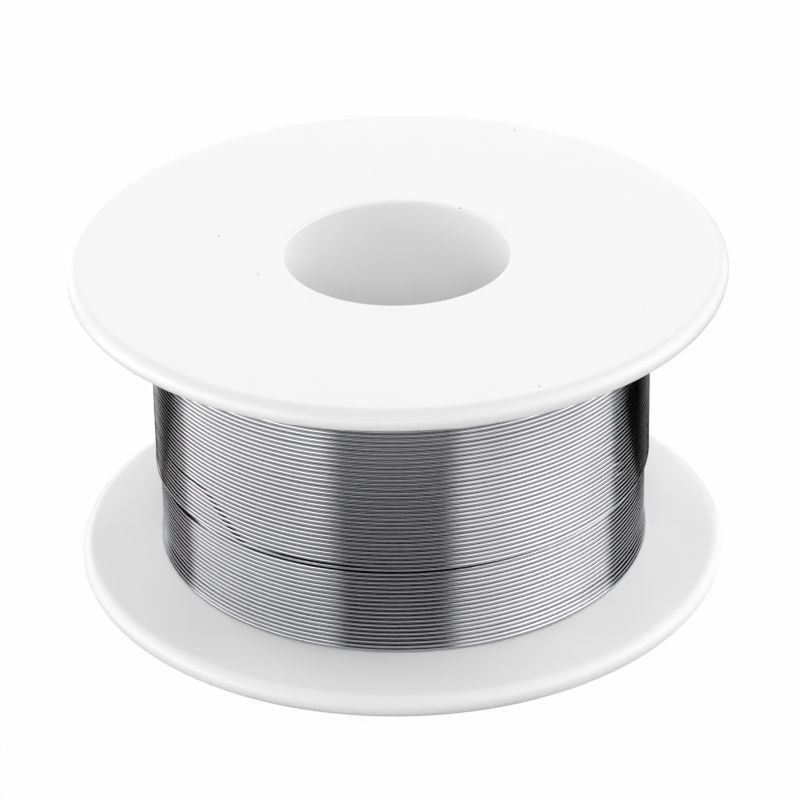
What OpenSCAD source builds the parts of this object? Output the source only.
// Spool of solder wire: a one-piece moulded plastic spool, wound full with
// rosin-cored wire whose last layer stops part of the way down.
// Millimetres, +Z up. The origin is the centre of the face it stands on.

/* [Spool] */
// Diameter of both flanges
flange_d = 56; // [52:1:60]
// Thickness of a flange at its rim, which is rounded all the way round
flange_t = 2; // [1.6:0.1:2.6]
// Height of the spool over both flanges
spool_h = 28.9; // [28:0.1:32]
// Diameter of the bore that goes over a holder's rod
bore_d = 19.2; // [14:0.2:20]
// Wall of the barrel that the wire is wound on
barrel_wall = 2; // [1.6:0.1:3]
// Radius of the bore's two mouths
mouth_r = 1; // [0.4:0.1:1.4]
// Draft of a flange's inner face, in degrees, which lets the mould slide out
draft = 0.5; // [0:0.1:1]
// Radius in the corner between the barrel and a flange
corner_r = 0.6; // [0.3:0.1:1]

/* [Sink ring] */
// Width of the shallow ring where the barrel draws each outer face in
sink_w = 1.6; // [1:0.1:1.8]
// Depth of that ring
sink_depth = 0.12; // [0.05:0.01:0.2]

/* [Wire] */
// Diameter of the wire
wire_d = 0.4; // [0.38:0.01:0.45]
// Radius of the winding over its last full layer
winding_r = 21; // [19:0.1:22]
// Height at which the last layer stops
step_z = 10.2; // [9:0.1:12]
// Turns that are drawn of the full layer, below that height
low_turns = 7; // [5:1:7]
// Turns that are drawn of the last layer, above it
high_turns = 17; // [12:1:17]
// Direction in which the drawn turns start, in degrees, with 90 at the back
seam_angle = 100; // [60:5:140]

/* [Wire end] */
// Length of the cut end, which lies straight
end_len = 4; // [2:0.5:6]
// Diameter of the rosin inside the wire
rosin_d = 0.16; // [0.1:0.02:0.2]

/* [Hidden] */

// Fineness of round solids
$fn = 96;
// Rings in one drawn turn of wire, and sides of a ring
RINGS = 24;
SIDES = 6;
// Steps in a rounded corner
STEPS = 6;
// How far a cutter runs past what it cuts
PAST = 1;
UP = [0, 0, 1];

rim_r = flange_d / 2;
rim_centre = rim_r - flange_t / 2;
bore_r = bore_d / 2;
barrel_r = bore_r + barrel_wall;
wire_r = wire_d / 2;

// Middle of the barrel's wall
mid_wall_r = bore_r + barrel_wall / 2;

// Each layer of wire lies in the grooves of the layer below it.
last_r = winding_r + wire_d * sin(60);

// A drawn turn's centre line, and the plain layers one wire further in, which
// its two ends meet squarely
low_line_r = winding_r - wire_r;
high_line_r = last_r - wire_r;
low_core_r = low_line_r - wire_d;
high_core_r = high_line_r - wire_d;

// The first layers of wire pass just clear of the corner's radius.
core_corner = 1.1 * corner_r;

// Height of a flange's drafted inner face over its outer face, at radius r
function face(r) = flange_t + (rim_centre - r) * tan(draft);

// Heights of the first and last centre line of each run of turns
low_start = face(low_core_r) + wire_r;
low_end = step_z - wire_r;
high_start = step_z + wire_r;
high_end = spool_h - face(high_core_r) - wire_r;

// Directions on the winding at angle a: straight out, and along the wire
function outward(a) = [cos(a), sin(a), 0];
function along(a) = [-sin(a), cos(a), 0];

// Where point i of a run lies, and at what angle
function angle(i) = seam_angle + 360 * i / RINGS;
function place(i, turns, z0, z1, r) =
    r * outward(angle(i)) + (z0 + (z1 - z0) * i / (turns * RINGS)) * UP;

// The centre line of a run of turns
function centre_line(turns, z0, z1, r) =
    [for (i = [0:turns * RINGS]) place(i, turns, z0, z1, r)];

// A ring of points round p. side is the ring's level direction.
function ring(p, side) = [
    for (j = [0:SIDES - 1])
        let (a = 360 * j / SIDES)
        p + wire_r * (cos(a) * side + sin(a) * UP)
];

// An end that turns in to the layer below is mitred at its corner and then
// runs straight for one wire's diameter. A cut end runs straight on.
function first_rings(p, a, cut) = cut
    ? [ring(p - wire_d * along(a), outward(a)), ring(p, outward(a))]
    : [ring(p - wire_d * outward(a), -along(a)), ring(p, outward(a) - along(a))];
function last_rings(p, a) =
    [ring(p, outward(a) + along(a)), ring(p - wire_d * outward(a), along(a))];

// All rings of a run of turns
function run_rings(line, cut) =
    let (end = len(line) - 1)
    concat(
        first_rings(line[0], angle(0), cut),
        [for (i = [1:end - 1]) ring(line[i], outward(angle(i)))],
        last_rings(line[end], angle(end))
    );

// The triangles between two rings, and across each end
function side_faces(i) = [
    for (j = [0:SIDES - 1])
        let (
            a = i * SIDES + j,
            b = i * SIDES + (j + 1) % SIDES,
            c = b + SIDES,
            d = a + SIDES
        )
        each [[a, b, c], [a, c, d]]
];
function end_faces(count) =
    let (top = (count - 1) * SIDES)
    [for (j = [1:SIDES - 2]) each [[0, j + 1, j], [top, top + j, top + j + 1]]];

// One unbroken tube along a run of turns
module wound_tube(line, cut) {
    rings = run_rings(line, cut);
    count = len(rings);
    polyhedron(
        points = [for (r = rings) each r],
        faces = concat([for (i = [0:count - 2]) each side_faces(i)], end_faces(count))
    );
}

// The least air between a run's points and those at least half a turn on
function least_gap(line) = min([
    for (i = [0:len(line) - 1])
        for (k = [i + RINGS / 2:1:len(line) - 1])
            norm(line[i] - line[k])
]) - wire_d;

low_line = centre_line(low_turns, low_start, low_end, low_line_r);
high_line = centre_line(high_turns, high_start, high_end, high_line_r);
echo(str("full_layer: least gap to itself ", least_gap(low_line), " mm"));
echo(str("last_layer: least gap to itself ", least_gap(high_line), " mm"));

// Half of the spool's section: one flange, its mouth and its rim
module flange_section() {
    sink_r = (pow(sink_w / 2, 2) + pow(sink_depth, 2)) / (2 * sink_depth);
    difference() {
        union() {
            polygon([
                [bore_r + mouth_r, 0],
                [rim_centre, 0],
                [rim_centre, flange_t],
                [barrel_r, face(barrel_r)],
                [bore_r + mouth_r, face(barrel_r)]
            ]);
            translate([rim_centre, flange_t / 2]) circle(d = flange_t);
            translate([bore_r + mouth_r, mouth_r]) circle(mouth_r);
            corner_section();
        }
        translate([barrel_r, sink_depth - sink_r]) circle(sink_r);
    }
}

// The fillet between the flange and the barrel
module corner_section() {
    z = face(barrel_r + corner_r) + corner_r / cos(draft);
    polygon(concat(
        [[mid_wall_r, z], [mid_wall_r, flange_t]],
        [
            for (i = [0:STEPS])
                let (a = 270 - draft - (90 - draft) * i / STEPS)
                [barrel_r + corner_r, z] + corner_r * [cos(a), sin(a)]
        ]
    ));
}

// The one-piece moulding
module spool() {
    color("whitesmoke")
        rotate_extrude() {
            flange_section();
            translate([0, spool_h]) mirror([0, 1]) flange_section();
            translate([bore_r, mouth_r])
                square([barrel_wall, spool_h - 2 * mouth_r]);
        }
}

// All the wire under the turns that show, wound tight between the flanges
module inner_layers() {
    corner_x = barrel_r + core_corner;
    corner_z = face(corner_x) + core_corner;
    color("silver")
        rotate_extrude()
            polygon([
                [barrel_r, corner_z],
                [corner_x, face(corner_x)],
                [low_core_r, face(low_core_r)],
                [low_core_r, step_z],
                [high_core_r, step_z],
                [high_core_r, spool_h - face(high_core_r)],
                [corner_x, spool_h - face(corner_x)],
                [barrel_r, spool_h - corner_z]
            ]);
}

// The turns of the last full layer that show below the step
module full_layer() {
    color("silver") wound_tube(low_line, cut = false);
}

// The turns of the last layer, down to its cut end at the back
module last_layer() {
    color("silver") wound_tube(high_line, cut = true);
}

// Puts a child that stands on the origin where the cut end of wire begins
module at_wire_end() {
    translate(high_line[0] - wire_d * along(seam_angle))
        rotate([90, 0, seam_angle])
        children();
}

// The cut end of the wire: a tube of solder
module wire_end() {
    color("silver")
        at_wire_end()
        difference() {
            cylinder(h = end_len, d = wire_d);
            translate([0, 0, -PAST]) cylinder(h = end_len + 2 * PAST, d = rosin_d);
        }
}

// The rosin flux that fills it
module rosin_core() {
    color("goldenrod") at_wire_end() cylinder(h = end_len, d = rosin_d);
}

spool();
inner_layers();
full_layer();
last_layer();
wire_end();
rosin_core();
